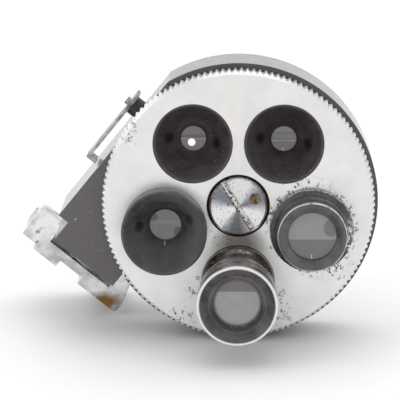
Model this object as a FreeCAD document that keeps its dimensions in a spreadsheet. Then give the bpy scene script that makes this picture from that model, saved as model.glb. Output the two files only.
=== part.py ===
import FreeCAD, Part
import math
import os
import Sketcher
from FreeCAD import Placement, Rotation, Vector

# Turret viewfinder for a rangefinder camera: five objectives on a turning disc in front of a
# prism body with one eyepiece. Every piece is drawn upright, as the finder stands on a camera:
# +X to the right seen from the front, +Z up, +Y backwards, the turret axis along Y through the
# origin and the disc's front face at Y = 0. The whole finder is then laid on its side.

os.makedirs("parts", exist_ok=True)
doc = FreeCAD.newDocument("turret_viewfinder")

# ---------------------------------------------------------------- driving dimensions (mm)
sheet = doc.addObject("Spreadsheet::Sheet", "sizes")
DIMENSIONS = {
    "disc_radius": 26.0, "disc_thick": 4.0, "tooth_depth": 0.65, "tooth_count": 138,
    "disc_chamfer": 0.8, "lens_pitch": 14.7, "lens_bore": 7.0, "first_lens_angle": 165.0,
    "drum_radius": 26.7, "cavity_radius": 23.2, "face_depth": 4.3, "plate_thick": 1.2,
    "bulkhead_depth": 12.4, "wall": 1.6, "drum_back": 16.6, "back_depth": 23.0,
    "cover_depth": 34.0, "flat_side": 24.9, "flat_top": 0.0, "base_level": 28.4,
    "base_right": 8.2, "notch_width": 2.3, "notch_height": 4.4, "cover_left": 21.4,
    "cover_right": 6.0, "cover_top": 11.0, "post_radius": 7.2, "washer_radius": 4.0,
    "cover_screw": 1.1, "foot_screw": 1.0,
    "axle_radius": 2.6, "hub_bore": 2.65, "head_radius": 5.5, "head_recess": 6.0,
    "head_proud": 1.5, "head_back": 1.3, "slot_width": 0.95, "lock_radius": 1.05,
    "detent_pitch": 5.4, "ball_radius": 0.7, "sleeve_radius": 1.1,
    "cone_lip": 7.6, "cone_mouth": 7.1, "cone_depth": 5.5, "cone_lens": 2.8,
    "cell_tail": 5.4, "cell_end": 11.0, "left_lip": 8.1, "left_proud": 4.5, "left_lens": 3.0,
    "right_base": 7.95, "right_ring": 6.55, "right_proud": 7.0, "right_lens": 4.55,
    "tube_base": 6.9, "tube_waist": 5.9, "tube_ring": 7.5, "tube_proud": 19.5,
    "tube_lens": 4.5, "mask_thick": 0.4, "eye_radius": 6.8, "eye_rim": 6.4,
    "eye_length": 6.0, "rim_length": 1.6, "eye_lens": 4.2, "cradle_front": 20.0,
    "cradle_length": 18.0, "ear_length": 7.5, "cradle_left": 27.1, "cradle_right": 2.6,
    "ear_left": 5.3, "ear_right": 4.3, "ear_top": 28.9, "ear_bottom": 35.0,
    "cradle_floor": 32.8, "shoe_top": 34.2, "foot_bottom": 36.1, "foot_left": 23.9,
    "pivot_level": 31.4, "pivot_depth": 24.6, "pivot_radius": 0.8, "strip_off": 1.9,
    "strip_thick": 0.6, "strip_width": 5.0, "strip_top": 2.6, "strip_bottom": 13.4,
    "strip_depth": 13.0, "gap": 0.3, "running": 0.05, "roll": 39.0,
}
for row, (alias, value) in enumerate(DIMENSIONS.items(), start=1):
    sheet.set(f"A{row}", alias)
    sheet.set(f"B{row}", str(value))
    sheet.setAlias(f"B{row}", alias)
doc.recompute()


def size(alias):
    """The value of one driving dimension, read back from the sheet."""
    return float(sheet.get(alias))


def bind(obj, prop, formula):
    """Binds a property to the sheet: every alias in the formula is looked up there."""
    words = sorted(DIMENSIONS, key=len, reverse=True)
    text = str(formula)
    for count, word in enumerate(words):
        text = text.replace(word, f"@{count}@")
    for count, word in enumerate(words):
        text = text.replace(f"@{count}@", f"sizes.{word}")
    obj.setExpression(prop, text)


# ---------------------------------------------------------------- ways of making a piece
PIECES = {}


def piece(name, obj):
    """Registers an object as one sub-part under its node's name. A plain primitive, whose own
    place follows the sheet, goes into a compound that can be laid down with the rest."""
    if obj.TypeId in ("Part::Box", "Part::Cylinder"):
        holder = doc.addObject("Part::Compound", name + "_piece")
        holder.Links = [obj]
        obj.Label = name + "_blank"
        obj = holder
    obj.Label = name
    PIECES[name] = obj
    return obj


def plane(body, role):
    """One of the body's own origin planes, found by its role."""
    return next(f for f in body.Origin.OriginFeatures if f.Role == role)


def turned(name, profile, at=(0, 0, 0)):
    """A lathe-turned piece: (radius, depth) corners, each a formula, revolved about its Y axis."""
    body = doc.addObject("PartDesign::Body", name)
    sketch = body.newObject("Sketcher::SketchObject", name + "_profile")
    sketch.AttachmentSupport = [(plane(body, "XY_Plane"), "")]
    sketch.MapMode = "FlatFace"
    corners = [tuple(value_of(f) for f in corner) for corner in profile]
    count = len(corners)
    for i in range(count):
        start, end = corners[i], corners[(i + 1) % count]
        sketch.addGeometry(Part.LineSegment(Vector(*start, 0), Vector(*end, 0)))
    for i in range(count):
        sketch.addConstraint(Sketcher.Constraint("Coincident", i, 2, (i + 1) % count, 1))
    for i, (radius, depth) in enumerate(profile):
        for kind, formula in (("DistanceX", radius), ("DistanceY", depth)):
            number = sketch.addConstraint(
                Sketcher.Constraint(kind, -1, 1, i, 1, value_of(formula)))
            if not is_number(formula):
                bind(sketch, f"Constraints[{number}]", formula)
    turn = body.newObject("PartDesign::Revolution", name + "_turn")
    turn.Profile = sketch
    turn.ReferenceAxis = (sketch, ["V_Axis"])
    turn.Angle = 360
    body.Tip = turn
    body.Placement = Placement(Vector(*at), Rotation())
    return body


def is_number(formula):
    return isinstance(formula, (int, float))


def value_of(formula):
    """The number that a formula of sheet aliases gives."""
    if is_number(formula):
        return float(formula)
    total, sign = 0.0, 1.0
    for word in formula.split():
        if word in "+-":
            sign = 1.0 if word == "+" else -1.0
        else:
            factors = [size(w) if w in DIMENSIONS else float(w) for w in word.split("*")]
            total += sign * math.prod(factors)
    return total


def box(name, low, high):
    """A block between two corners, each coordinate a formula."""
    block = doc.addObject("Part::Box", name)
    for side, start, end in zip(("Length", "Width", "Height"), low, high):
        bind(block, side, f"({end}) - ({start})")
    for axis, start in zip("xyz", low):
        bind(block, f"Placement.Base.{axis}", start)
    return block


def rod(name, radius, length, at, along="Y"):
    """A cylinder starting at a point and running along +X, +Y or +Z."""
    turn = {"X": Rotation(Vector(0, 1, 0), 90), "Y": Rotation(Vector(1, 0, 0), -90),
            "Z": Rotation()}[along]
    bar = doc.addObject("Part::Cylinder", name)
    bar.Placement = Placement(Vector(*[value_of(c) for c in at]), turn)
    bind(bar, "Radius", radius)
    bind(bar, "Height", length)
    for axis, coordinate in zip("xyz", at):
        bind(bar, f"Placement.Base.{axis}", coordinate)
    return bar


def joined(name, *shapes):
    fuse = doc.addObject("Part::MultiFuse", name)
    fuse.Shapes = list(shapes)
    return fuse


def cut(name, base, *tools):
    result = doc.addObject("Part::Cut", name)
    result.Base = base
    result.Tool = tools[0] if len(tools) == 1 else joined(name + "_tools", *tools)
    return result


def common(name, first, second):
    result = doc.addObject("Part::MultiCommon", name)
    result.Shapes = [first, second]
    return result


def rounded(name, base, radius, chosen):
    """Rounds the edges that a test picks out."""
    doc.recompute()
    fillet = doc.addObject("Part::Fillet", name)
    fillet.Base = base
    numbers = [i for i, edge in enumerate(base.Shape.Edges, start=1) if chosen(edge)]
    fillet.Edges = [(i, radius, radius) for i in numbers]
    return fillet


def along(edge, axis):
    """True for a straight edge parallel to an axis."""
    if edge.Curve.TypeId != "Part::GeomLine":
        return False
    return abs(edge.Curve.Direction.dot(axis)) > 0.999


def solid(name, shape, at=(0, 0, 0)):
    """A piece whose shape no feature makes simply, worked out from the sheet in code."""
    made = doc.addObject("Part::Feature", name)
    made.Shape = shape
    made.Placement = Placement(Vector(*at), Rotation()).multiply(shape.Placement)
    return made


def lens_place(index, radius=None):
    """Where objective number index stands on the disc; they are a fifth of a turn apart."""
    angle = math.radians(size("first_lens_angle") - 72.0 * index)
    radius = size("lens_pitch") if radius is None else radius
    return radius * math.cos(angle), 0.0, radius * math.sin(angle)


def glass(name, edge_radius, front, back, sag_front, sag_back, at):
    """A lens: a rim cylinder with two spherical faces, which bulge where the sag is positive
    and are hollowed where it is negative."""
    low, high = front - max(sag_front, 0), back + max(sag_back, 0)
    shape = Part.makeCylinder(edge_radius, high - low, Vector(0, low, 0), Vector(0, 1, 0))
    for face, outward, sag in ((front, -1, sag_front), (back, 1, sag_back)):
        ball = (edge_radius ** 2 + sag ** 2) / (2 * abs(sag))
        centre = face + outward * (sag - math.copysign(ball, sag))
        sphere = Part.makeSphere(ball, Vector(0, centre, 0), Vector(0, 1, 0), -90, 90, 360)
        shape = shape.common(sphere) if sag > 0 else shape.cut(sphere)
    return piece(name, solid(name, shape, at))


# ---------------------------------------------------------------- turret disc
def knurled_blank():
    """The disc's blank: a gear-like outline of sharp V teeth, padded and then chamfered."""
    count = int(size("tooth_count"))
    tip, root = size("disc_radius"), size("disc_radius") - size("tooth_depth")
    points = []
    for i in range(2 * count):
        radius = tip if i % 2 == 0 else root
        angle = math.pi * i / count
        points.append(Vector(radius * math.cos(angle), 0, radius * math.sin(angle)))
    points.append(points[0])
    thick, chamfer = size("disc_thick"), size("disc_chamfer")
    blank = Part.Face(Part.makePolygon(points)).extrude(Vector(0, thick, 0))
    cone = Part.makeCone(tip - chamfer, tip + thick - chamfer, thick,
                         Vector(0, 0, 0), Vector(0, 1, 0))
    return blank.common(cone)


def turret_disc():
    """The bright front disc: five screwed lens seats, the centre recess and the detent track."""
    blank = knurled_blank()
    thick = size("disc_thick")
    back = Vector(0, 1, 0)
    holes = [Part.makeCylinder(size("hub_bore") + 1.5, thick + 2, Vector(0, -1, 0), back),
             Part.makeCylinder(size("head_recess"), 1.6, Vector(0, -0.01, 0), back)]
    seats = [size("cone_lip"), size("cone_lip"), size("lens_bore"), size("lens_bore"),
             size("lens_bore")]
    for index, radius in enumerate(seats):
        x, _, z = lens_place(index)
        holes.append(Part.makeCylinder(radius + 0.01, thick + 2, Vector(x, -1, z), back))
    pitch, groove = size("detent_pitch"), size("ball_radius") + 0.1
    for index in range(5):
        x, _, z = lens_place(index + 0.5, pitch)
        holes.append(Part.makeSphere(groove, Vector(x, thick - 0.25, z)))
    track = Part.makeCylinder(pitch + groove, 0.55, Vector(0, thick - 0.5, 0), back)
    track = track.cut(Part.makeCylinder(pitch - groove, 1, Vector(0, thick - 0.6, 0), back))
    shape = blank
    for hole in holes + [track]:
        shape = shape.cut(hole)
    return piece("turret_disc", solid("turret_disc", shape))


turret_disc()
piece("turret_bush", turned("turret_bush", [
    ("hub_bore", 1.65), ("hub_bore + 1.5", 1.65), ("hub_bore + 1.5", "disc_thick + 1.5"),
    ("hub_bore", "disc_thick + 1.5")]))

# ---------------------------------------------------------------- objectives
CELL_SHOULDER = "disc_thick + 0.6"
for index, name in ((0, "wide_cell"), (1, "second_wide_cell")):
    piece(name, turned(name, [
        ("cone_mouth", -0.15), ("cone_lip", -0.15), ("cone_lip", "disc_thick"),
        ("cone_lip - 0.9", CELL_SHOULDER), ("cell_tail", CELL_SHOULDER),
        ("cell_tail", "cell_end"), ("cone_lens - 0.4", "cell_end"),
        ("cone_lens - 0.4", "cone_depth + 1.9"), ("cone_lens + 0.4", "cone_depth + 1.9"),
        ("cone_lens + 0.4", "cone_depth + 0.3"), ("cone_lens", "cone_depth")],
        lens_place(index)))
    lens_radius = size("cone_lens") + 0.38
    depth = size("cone_depth")
    glass(name.replace("cell", "lens"), lens_radius, depth + 0.5, depth + 1.85, -0.2, -0.3,
          lens_place(index))

piece("short_barrel", turned("short_barrel", [
    ("left_lip - 0.55", "0 - left_proud"), ("left_lip", "0 - left_proud"), ("left_lip", -0.02),
    ("lens_bore", -0.02), ("lens_bore", CELL_SHOULDER), ("cell_tail", CELL_SHOULDER),
    ("cell_tail", "cell_end"), ("left_lens - 0.4", "cell_end"),
    ("left_lens - 0.4", 5.6), ("left_lens + 0.4", 5.6), ("left_lens + 0.4", 3.9),
    ("left_lens", 3.7)], lens_place(4)))
glass("short_lens", size("left_lens") + 0.38, 4.1, 5.55, -0.2, -0.3, lens_place(4))

piece("medium_barrel", turned("medium_barrel", [
    ("right_lens", "0 - right_proud + 1.4"), ("right_ring - 0.5", "0 - right_proud + 1.4"),
    ("right_ring - 0.5", "0 - right_proud + 3"), ("right_ring + 0.2", "0 - right_proud + 3.1"),
    ("right_ring + 0.5", -1.9), ("right_base", -1.5), ("right_base", -0.02),
    ("lens_bore", -0.02), ("lens_bore", CELL_SHOULDER), ("cell_tail", CELL_SHOULDER),
    ("cell_tail", "cell_end"), ("right_lens - 0.9", "cell_end"),
    ("right_lens - 0.9", "0 - right_proud + 3.6"), ("right_lens", "0 - right_proud + 3.6")],
    lens_place(2)))
piece("medium_front_ring", turned("medium_front_ring", [
    ("right_lens", "0 - right_proud + 0.7"), ("right_ring - 0.8", "0 - right_proud"),
    ("right_ring", "0 - right_proud"), ("right_ring", "0 - right_proud + 2.9"),
    ("right_ring - 0.48", "0 - right_proud + 2.9"), ("right_ring - 0.48", "0 - right_proud + 1.35"),
    ("right_lens", "0 - right_proud + 1.35")], lens_place(2)))
glass("medium_lens", size("right_lens") - 0.02, 1.5 - size("right_proud"),
      3.5 - size("right_proud"), -0.1, -0.15, lens_place(2))

piece("long_barrel", turned("long_barrel", [
    ("tube_lens", "0 - tube_proud + 2.6"), ("tube_ring - 0.9", "0 - tube_proud + 2.6"),
    ("tube_ring - 0.9", "0 - tube_proud + 5"), ("tube_ring - 0.2", "0 - tube_proud + 5.1"),
    ("tube_ring - 0.2", -11), ("tube_ring - 0.9", -10.2), ("tube_waist + 0.4", -8.6),
    ("tube_waist", -7.4), ("tube_waist", -2.6), ("tube_base", -1.4), ("tube_base", -0.02),
    ("lens_bore - 0.2", -0.02), ("lens_bore - 0.2", CELL_SHOULDER), ("cell_tail", CELL_SHOULDER),
    ("cell_tail", "cell_end"), ("tube_lens - 1", "cell_end"),
    ("tube_lens - 1", "0 - tube_proud + 5.2"), ("tube_lens", "0 - tube_proud + 5.2")],
    lens_place(3)))
piece("long_front_ring", turned("long_front_ring", [
    ("tube_lens + 0.1", "0 - tube_proud + 2.2"), ("tube_lens + 0.9", "0 - tube_proud + 1.9"),
    ("tube_ring - 0.6", "0 - tube_proud"), ("tube_ring", "0 - tube_proud"),
    ("tube_ring", "0 - tube_proud + 4.9"),
    ("tube_ring - 0.88", "0 - tube_proud + 4.9"), ("tube_ring - 0.88", "0 - tube_proud + 2.5"),
    ("tube_lens + 0.1", "0 - tube_proud + 2.5")], lens_place(3)))
glass("long_lens", size("tube_lens") - 0.02, 2.8 - size("tube_proud"),
      5.1 - size("tube_proud"), -0.1, -0.15, lens_place(3))

MASKS = (("wide_mask", 0, 3.6, 2.4), ("second_wide_mask", 1, 3.4, 2.3),
         ("medium_mask", 2, 2.4, 1.6), ("long_mask", 3, 1.8, 1.2), ("short_mask", 4, 3.0, 2.0))
for name, index, wide, high in MASKS:
    x, _, z = lens_place(index)
    disc = Part.makeCylinder(size("cell_tail"), size("mask_thick"), Vector(0, 0, 0),
                             Vector(0, 1, 0))
    window = Part.makeBox(wide, 2, high, Vector(-wide / 2, -1, -high / 2))
    window.rotate(Vector(0, 0, 0), Vector(0, 1, 0), 72.0 * index)
    piece(name, solid(name, disc.cut(window), (x, size("cell_end") + 0.01, z)))

# ---------------------------------------------------------------- body of the finder
EYE_X, _, EYE_Z = lens_place(0)
drum = rod("drum", "drum_radius", "drum_back - face_depth", (0, "face_depth", 0))
foot_block = box("foot_block", ("0 - drum_radius", "face_depth", "0 - base_level"),
                 ("0 - base_right", "back_depth", "flat_top"))
seat_block = box("seat_block", ("0 - cover_left", "face_depth", 0),
                 ("0 - base_right", "back_depth", "cover_top"))
outer = joined("housing_outer", drum, foot_block, seat_block)
side_cut = box("side_cut", ("0 - drum_radius - 1", 0, "0 - base_level - 1"),
               ("0 - flat_side", 30, 30))
notch = box("notch", ("0 - flat_side - 1", 0, "0 - base_level - 1"),
            ("0 - flat_side + notch_width", 30, "0 - base_level + notch_height"))
cavity = rod("cavity", "cavity_radius", "bulkhead_depth - face_depth + 1", (0, "face_depth - 1", 0))
rear_round = rod("rear_round", "cavity_radius", "drum_back - bulkhead_depth - wall + 0.01",
                 (0, "bulkhead_depth + wall", 0))
rear_room = cut("rear_room", rear_round, box("rear_side", (-40, 0, -40), ("0 - cover_left", 60, 40)))
prism_pocket = box("prism_pocket", ("0 - cover_left + wall", "drum_back", -22),
                   ("0 - base_right - wall", "back_depth + 1", "cover_top - wall"))
window = rod("window", 4.6, 12, (EYE_X, "bulkhead_depth - 1", EYE_Z))
plate_room = box("plate_room", ("0 - flat_side - 1", 0, "0 - base_level - 1"),
                 ("0 - base_right + 1", "face_depth + plate_thick", 9.2))
plate_room_cut = cut("plate_room_cut", plate_room,
                     rod("plate_ring", "cavity_radius + 1.2", 20, (0, -1, 0)))
shell = cut("housing_shell", outer, side_cut, notch, cavity, rear_room, prism_pocket,
            plate_room_cut, window)
post = rod("post", "post_radius", "bulkhead_depth - disc_thick - 1.9", (0, "disc_thick + 2", 0))
housing_solid = joined("housing_solid", shell, post)
detent_x, _, detent_z = lens_place(2.5, size("detent_pitch"))
housing = cut("main_housing", housing_solid, rod("axle_bore", "axle_radius", 20, (0, 3, 0)),
              rod("sleeve_bore", "sleeve_radius", 8, (detent_x, 3, detent_z)))
piece("main_housing", housing)

# The matt front plate fills the corner of the face that the disc leaves bare.
plate_blank = box("plate_blank", ("0 - flat_side", "face_depth", "0 - base_level"),
                  ("0 - base_right", "face_depth + plate_thick - 0.02", 9.0))
plate = cut("front_plate", plate_blank, rod("plate_bore", "cavity_radius + 1.25", 20, (0, -1, 0)),
            box("plate_notch", ("0 - flat_side - 1", 0, "0 - base_level - 1"),
                ("0 - flat_side + notch_width", 30, "0 - base_level + notch_height")))
piece("front_plate", common("front_plate_trimmed", plate, outer))

COVER_SCREWS = ((-18.6, -9.0), (-8.8, -9.0), (-18.6, -24.6), (-8.8, -24.6))
FOOT_SCREWS = ((-21.0, 24.0), (-21.0, 34.0), (-7.5, 24.0), (-7.5, 34.0))

# Back lid of the drum, and the deeper cover over the prisms.
lid = cut("lid_plate", rod("lid_blank", "cavity_radius - 0.1", 1.2, (0, "drum_back - 1.2", 0)),
          rod("lid_window", 4.6, 6, (EYE_X, "drum_back - 3", EYE_Z)),
          box("lid_straight", (-30, 0, -30), ("0 - base_right + 0.1", 60, "cover_top + 0.1")))
piece("back_lid", lid)

cover_outer = box("cover_outer", ("0 - cover_left", "back_depth + 0.02", "0 - base_level + 0.4"),
                  ("0 - cover_right", "cover_depth", "cover_top"))
cover_round = rounded("cover_round", cover_outer, 3.0,
                      lambda e: along(e, Vector(0, 1, 0))
                      or e.CenterOfMass.y > size("cover_depth") - 0.1)
cover_room = box("cover_room",
                 ("0 - cover_left + wall", "back_depth - 1", "0 - base_level + 0.4 + wall"),
                 ("0 - cover_right - wall", "cover_depth - wall", "cover_top - wall"))
pedestal = box("pedestal", ("0 - cradle_left + ear_left + gap", "back_depth + 0.1",
                            "0 - cradle_floor + 0.4"),
               ("0 - cradle_right - ear_right - gap", "pivot_depth + 1.8",
                "0 - base_level + 1.9"))
cover_solid = joined("cover_solid", cover_round, pedestal)
screw_seats = [rod(f"screw_seat_{i}", "cover_screw + 0.02", 2, (x, "cover_depth - 0.55", z))
               for i, (x, z) in enumerate(COVER_SCREWS)]
cover = cut("prism_cover", cover_solid, cover_room, *screw_seats,
            rod("eye_hole", "eye_radius - 1.4", 10, (EYE_X, "cover_depth - 5", EYE_Z)),
            rod("pivot_bore", "pivot_radius + running", 60, (-40, "pivot_depth", "0 - pivot_level"),
                "X"))
piece("prism_cover", cover)

# ---------------------------------------------------------------- axle and its screws
piece("turret_axle", turned("turret_axle", [
    (0, "head_back + 0.02"), ("axle_radius - 0.02", "head_back + 0.02"),
    ("axle_radius - 0.02", "bulkhead_depth + wall + 1.2"), (0, "bulkhead_depth + wall + 1.2")]))


def centre_screw():
    """The broad slotted head that holds the disc, with the lock screw's hole at its edge."""
    radius, proud = size("head_radius"), size("head_proud")
    thick = proud + size("head_back")
    head = Part.makeCylinder(radius, thick, Vector(0, -proud, 0), Vector(0, 1, 0))
    dome = Part.makeCone(radius - 0.35, radius + 3, 3.35, Vector(0, -proud, 0), Vector(0, 1, 0))
    width = size("slot_width")
    slot = Part.makeBox(20, 0.9, width, Vector(-10, -proud - 0.1, -width / 2))
    slot.rotate(Vector(0, 0, 0), Vector(0, 1, 0), 18.4)
    lock_hole = Part.makeCylinder(size("lock_radius") + 0.02, 2.8, Vector(*LOCK_PLACE),
                                  Vector(0, 1, 0))
    return piece("centre_screw", solid("centre_screw", head.common(dome).cut(slot).cut(lock_hole)))


LOCK_ANGLE = math.radians(28.0 + size("roll"))
LOCK_PLACE = (3.6 * math.cos(LOCK_ANGLE), -2.0, 3.6 * math.sin(LOCK_ANGLE))
centre_screw()


def slotted(name, places, radius, length, slot=0.35, axis="Y"):
    """Slot-headed screws as one group: plain shanks with a saw cut across each head."""
    group = []
    for x, y, z in places:
        screw = Part.makeCylinder(radius, length, Vector(0, 0, 0), Vector(0, 1, 0))
        groove = Part.makeBox(3 * radius, slot * 1.2, slot, Vector(-1.5 * radius, -0.01, -slot / 2))
        groove.rotate(Vector(0, 0, 0), Vector(0, 1, 0), 35.0)
        screw = screw.cut(groove)
        if axis == "-Y":
            screw.rotate(Vector(0, 0, 0), Vector(1, 0, 0), 180)
        if axis == "X":
            screw.rotate(Vector(0, 0, 0), Vector(0, 0, 1), -90)
        if axis == "Z":
            screw.rotate(Vector(0, 0, 0), Vector(1, 0, 0), 90)
        screw.translate(Vector(x, y, z))
        group.append(screw)
    return piece(name, solid(name, Part.makeCompound(group)))


slotted("lock_screw", [(LOCK_PLACE[0], 0.12 - size("head_proud"), LOCK_PLACE[2])],
        size("lock_radius"), 1.4)
piece("thrust_washer", turned("thrust_washer", [
    ("axle_radius + 0.1", "disc_thick + 1.55"), ("washer_radius", "disc_thick + 1.55"),
    ("washer_radius", "disc_thick + 1.95"), ("axle_radius + 0.1", "disc_thick + 1.95")]))
piece("axle_nut", turned("axle_nut", [
    ("axle_radius", "bulkhead_depth + wall + 0.02"), (4.4, "bulkhead_depth + wall + 0.02"),
    (4.4, "bulkhead_depth + wall + 1.1"), ("axle_radius", "bulkhead_depth + wall + 1.1")]))

# ---------------------------------------------------------------- click stop
piece("detent_sleeve", turned("detent_sleeve", [
    ("ball_radius + running", "disc_thick + 0.5"), ("sleeve_radius - 0.01", "disc_thick + 0.5"),
    ("sleeve_radius - 0.01", 10.9), (0, 10.9), (0, 10.2), ("ball_radius + running", 10.2)],
    (detent_x, 0, detent_z)))
piece("detent_ball", solid("detent_ball", Part.makeSphere(size("ball_radius")),
                           (detent_x, size("disc_thick") + 0.3, detent_z)))
spring_path = Part.makeHelix(0.75, 4.5, 0.52)
spring_wire = Part.Wire([Part.makeCircle(0.13, Vector(0.52, 0, 0), Vector(0, 1, 0))])
spring_shape = Part.Wire(spring_path.Edges).makePipeShell([spring_wire], True, True)
spring_shape.rotate(Vector(0, 0, 0), Vector(1, 0, 0), -90)
piece("detent_spring", solid("detent_spring", spring_shape, (detent_x, 5.4, detent_z)))

# ---------------------------------------------------------------- prisms and eyepiece
def prism(name, low, high, slant):
    """A glass prism: a block with one corner planed off at 45 degrees."""
    block = Part.makeBox(*[b - a for a, b in zip(low, high)], Vector(*low))
    wedge_size = slant * math.sqrt(2)
    wedge = Part.makeBox(wedge_size, 60, wedge_size, Vector(-wedge_size / 2, -30, -wedge_size / 2))
    wedge.rotate(Vector(0, 0, 0), Vector(0, 1, 0), 45)
    wedge.translate(Vector(low[0], 0, high[2]))
    return piece(name, solid(name, block.cut(wedge)))


PRISM_HALF = 4.6
prism("upper_prism", (EYE_X - PRISM_HALF, 24.2, EYE_Z - PRISM_HALF),
      (EYE_X + PRISM_HALF, 30.2, EYE_Z + PRISM_HALF), 4.0)
prism("lower_prism", (EYE_X - PRISM_HALF, 24.2, EYE_Z - 17.2),
      (EYE_X + PRISM_HALF, 30.2, EYE_Z - PRISM_HALF - 0.1), 3.0)
cage = box("cage_block", (EYE_X - PRISM_HALF - 0.9, 23.1, EYE_Z - 18.2),
           (EYE_X + PRISM_HALF + 0.9, 31.2, EYE_Z + PRISM_HALF + 0.9))
cage_room = box("cage_room", (EYE_X - PRISM_HALF - 0.05, 24.15, EYE_Z - 17.25),
                (EYE_X + PRISM_HALF + 0.05, 33.0, EYE_Z + PRISM_HALF + 0.05))
piece("prism_cage", cut("prism_cage", cage, cage_room,
                        rod("cage_window", 4.0, 10, (EYE_X, 20, EYE_Z))))
clip_plate = box("clip_plate", (EYE_X - 1.6, 30.25, EYE_Z - 16.5), (EYE_X + 1.6, 30.75, EYE_Z - 6.5))
piece("prism_clip", clip_plate)
piece("erecting_lens_cell", turned("erecting_lens_cell", [
    (3.6, "bulkhead_depth + wall + 0.1"), (4.5, "bulkhead_depth + wall + 0.1"),
    (4.5, "back_depth - 0.1"), (3.6, "back_depth - 0.1")], (EYE_X, 0, EYE_Z)))
glass("erecting_lens", 3.58, 18.4, 20.4, 0.4, 0.4, (EYE_X, 0, EYE_Z))
piece("eyepiece_tube", turned("eyepiece_tube", [
    ("eye_lens", "cover_depth - 2.6"), ("eye_radius - 1.45", "cover_depth - 2.6"),
    ("eye_radius - 1.45", "cover_depth + 0.02"),
    ("eye_radius", "cover_depth + 0.02"), ("eye_radius", "cover_depth + 4.1"),
    ("eye_rim - 0.3", "cover_depth + 4.1"), ("eye_rim - 0.3", "cover_depth + eye_length - rim_length"),
    ("eye_rim", "cover_depth + eye_length - rim_length"), ("eye_rim", "cover_depth + eye_length"),
    ("eye_rim - 0.8", "cover_depth + eye_length"), ("eye_lens + 0.3", "cover_depth + 3.4"),
    ("eye_lens", "cover_depth + 3.4")], (EYE_X, 0, EYE_Z)))
glass("eye_lens", size("eye_lens") - 0.02, 33.6, 36.2, 0.3, 0.5, (EYE_X, 0, EYE_Z))
piece("eyepiece_ring", turned("eyepiece_ring", [
    ("eye_radius + 0.02", "cover_depth + 1.2"), ("eye_radius + 0.8", "cover_depth + 1.2"),
    ("eye_radius + 0.8", "cover_depth + 3.9"), ("eye_radius + 0.02", "cover_depth + 3.9")],
    (EYE_X, 0, EYE_Z)))

# ---------------------------------------------------------------- small screws of the body
slotted("cover_screws", [(x, size("cover_depth") - 0.02, z) for x, z in COVER_SCREWS],
        size("cover_screw"), 0.5, axis="-Y")
LID_SCREWS = ((14.5, 12.0), (14.5, -12.0), (0.0, 19.5), (0.0, -19.5))
slotted("lid_screws", [(x, size("drum_back") + 0.3, z) for x, z in LID_SCREWS], 1.2, 0.28,
        axis="-Y")

# ---------------------------------------------------------------- parallax cradle and shoe foot
cradle_block = box("cradle_block", ("0 - cradle_left", "cradle_front", "0 - shoe_top"),
                   ("0 - cradle_right", "cradle_front + cradle_length", "0 - ear_top"))
cradle_channel = box("cradle_channel",
                     ("0 - cradle_left + ear_left", "cradle_front - 1", "0 - cradle_floor"),
                     ("0 - cradle_right - ear_right", "cradle_front + cradle_length + 1", 0))
cradle_tail = box("cradle_tail", (-40, "cradle_front + ear_length", "0 - cradle_floor"),
                  (10, "cradle_front + cradle_length + 1", 0))
cradle_skirt = box("cradle_skirt", ("0 - cradle_left", "cradle_front", "0 - ear_bottom"),
                   ("0 - foot_left - 0.02", "cradle_front + cradle_length", "0 - shoe_top + 1"))
cradle_round = rounded("cradle_round", joined("cradle_blank", cradle_block, cradle_skirt), 1.0,
                       lambda e: along(e, Vector(0, 1, 0)) and e.CenterOfMass.z > -30
                       and e.CenterOfMass.x < -20)
ear_slope = solid("ear_slope", Part.Face(Part.makePolygon([
    Vector(-4.1, 0, 0), Vector(-4.1, 0, -28.9), Vector(-2.7, 0, -33.7), Vector(0, 0, -33.7),
    Vector(0, 0, 0), Vector(-4.1, 0, 0)])).extrude(Vector(0, 60, 0)))
piece("cradle", cut("cradle", cradle_round, cradle_channel, cradle_tail, ear_slope,
                    rod("cradle_pivot_bore", "pivot_radius", 60,
                        (-40, "pivot_depth", "0 - pivot_level"), "X")))
foot_plate = box("foot_plate", ("0 - foot_left", "cradle_front", "0 - foot_bottom"),
                 ("0 - cradle_right", "cradle_front + cradle_length", "0 - shoe_top - 0.02"))
foot_groove = box("foot_groove", (-17.8, "cradle_front - 1", "0 - foot_bottom - 1"),
                  (-12.3, "cradle_front + cradle_length + 1", "0 - foot_bottom + 1.5"))
foot_round = rounded("foot_round", foot_plate, 0.7,
                     lambda e: along(e, Vector(0, 0, 1)) or along(e, Vector(0, 1, 0))
                     and e.CenterOfMass.z < -36)
foot_holes = [rod(f"foot_hole_{i}", "foot_screw + 0.02", 4, (x, y, -38), "Z")
              for i, (x, y) in enumerate(FOOT_SCREWS)]
piece("shoe_foot", cut("shoe_foot", foot_round, foot_groove, *foot_holes))
slotted("foot_screws", [(x, y, -36.0) for x, y in FOOT_SCREWS], size("foot_screw"), 1.75,
        axis="Z")
piece("pivot_pin", rod("pivot_pin", "pivot_radius - 0.01", "cradle_left - cradle_right - 1.4",
                       ("0 - cradle_left + 0.2", "pivot_depth", "0 - pivot_level"), "X"))

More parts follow.
